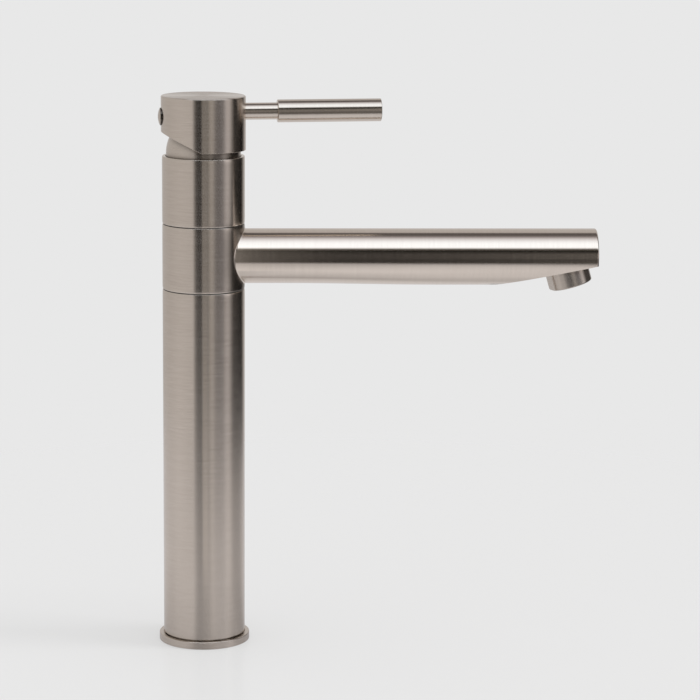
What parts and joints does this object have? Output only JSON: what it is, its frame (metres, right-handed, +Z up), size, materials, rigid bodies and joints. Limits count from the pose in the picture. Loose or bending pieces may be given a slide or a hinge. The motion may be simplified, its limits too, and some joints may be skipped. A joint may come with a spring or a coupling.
{
  "type": "kitchen mixer tap",
  "caption": "Tall single-lever kitchen mixer tap: round column on a foot ring, straight swivelling spout with a sloping tip, and a cap with a pin lever that turns and lifts.",
  "frame": {"origin": "centre of the foot's underside, on the worktop and on the column's axis", "axes": "+Z up along the column, +X along the spout towards its outlet"},
  "size_m": [0.2402, 0.05, 0.3035],
  "materials": {
    "brushed_nickel": "brushed nickel",
    "brass": "machined",
    "rubber": "matt",
    "black_plastic": "satin",
    "white_plastic": "satin",
    "ceramic": "ground and polished",
    "steel": "bright"
  },
  "bodies": {
    "tap_body": {"base_ring": "brushed_nickel", "base_gasket": "rubber", "base_plug": "brass", "column_tube": "brushed_nickel", "column_collar": "brass", "valve_body": "brass", "lower_slip_ring": "black_plastic", "upper_slip_ring": "black_plastic", "lower_o_ring": "rubber", "upper_o_ring": "rubber", "upper_sleeve": "brushed_nickel", "dome_cover": "brushed_nickel", "cartridge_nut": "brass", "cartridge_base": "white_plastic", "lower_port_seals": "rubber", "upper_port_seals": "rubber", "fixed_disc": "ceramic", "cartridge_housing": "white_plastic"},
    "spout": {"swivel_ring": "brushed_nickel", "spout_tube": "brushed_nickel", "outlet_bush": "brass", "aerator_housing": "brushed_nickel", "aerator_straightener": "white_plastic", "aerator_strainer": "white_plastic", "aerator_seal": "rubber"},
    "rotor": {"cartridge_rotor": "white_plastic", "rotor_o_ring": "rubber", "stem_pin": "steel"},
    "disc_slider": {"moving_disc": "ceramic", "disc_carrier": "white_plastic"},
    "handle": {"cartridge_stem": "steel", "handle_cap": "brushed_nickel", "lever_rod": "brushed_nickel", "lever_sleeve": "brushed_nickel", "handle_set_screw": "steel", "index_button": "brushed_nickel"}
  },
  "joints": [
    {"name": "spout_swivel", "type": "hinge", "parent": "tap_body", "child": "spout", "pos_m": [0, 0, 0.21595], "axis": [0, 0, 1], "continuous": true},
    {"name": "handle_turn", "type": "hinge", "parent": "tap_body", "child": "rotor", "pos_m": [0, 0, 0.2724], "axis": [0, 0, 1], "range_deg": [-55, 45]},
    {"name": "handle_lift", "type": "hinge", "parent": "rotor", "child": "handle", "pos_m": [0, 0, 0.2724], "axis": [0.0872, -0.9962, 0], "range_deg": [0, 25]},
    {"name": "disc_slide", "type": "slide", "parent": "rotor", "child": "disc_slider", "axis": [0.9962, 0.0872, 0], "range_m": [0, 0.00509]}
  ],
  "couplings": [
    {"joint": "disc_slide", "follows": "handle_lift", "m_per_rad": 0.011623}
  ]
}
